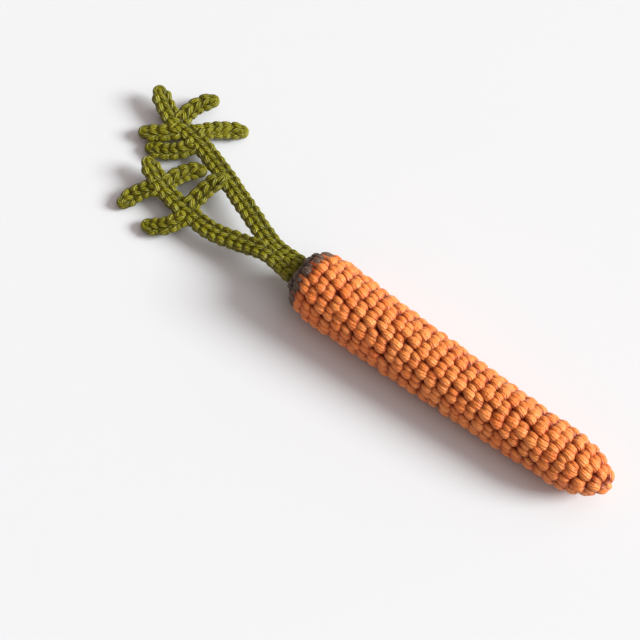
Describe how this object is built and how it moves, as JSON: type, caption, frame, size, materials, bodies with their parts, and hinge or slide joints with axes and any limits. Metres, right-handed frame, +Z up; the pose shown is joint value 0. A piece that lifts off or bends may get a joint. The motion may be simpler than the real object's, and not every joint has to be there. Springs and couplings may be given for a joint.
{
  "type": "crocheted toy carrot",
  "caption": "Stuffed crocheted carrot lying on its side: a tapering stitched orange root with a dark crown and green crocheted fronds, for play food, display or set dressing.",
  "frame": {"origin": "on the flattened underside of the root, near the middle of its length, where it rests on the table", "axes": "+X along the root from crown to tip, +Z up from the table"},
  "size_m": [0.2548, 0.0685, 0.029],
  "materials": {
    "orange_yarn": "matt cotton yarn",
    "filling": "loose white fibre",
    "brown_yarn": "matt cotton yarn",
    "green_yarn": "matt cotton yarn"
  },
  "bodies": {
    "root": {"root_sleeve": "orange_yarn", "filling": "filling", "crown": "brown_yarn", "frond_upper": "green_yarn", "frond_lower": "green_yarn"}
  },
  "joints": []
}
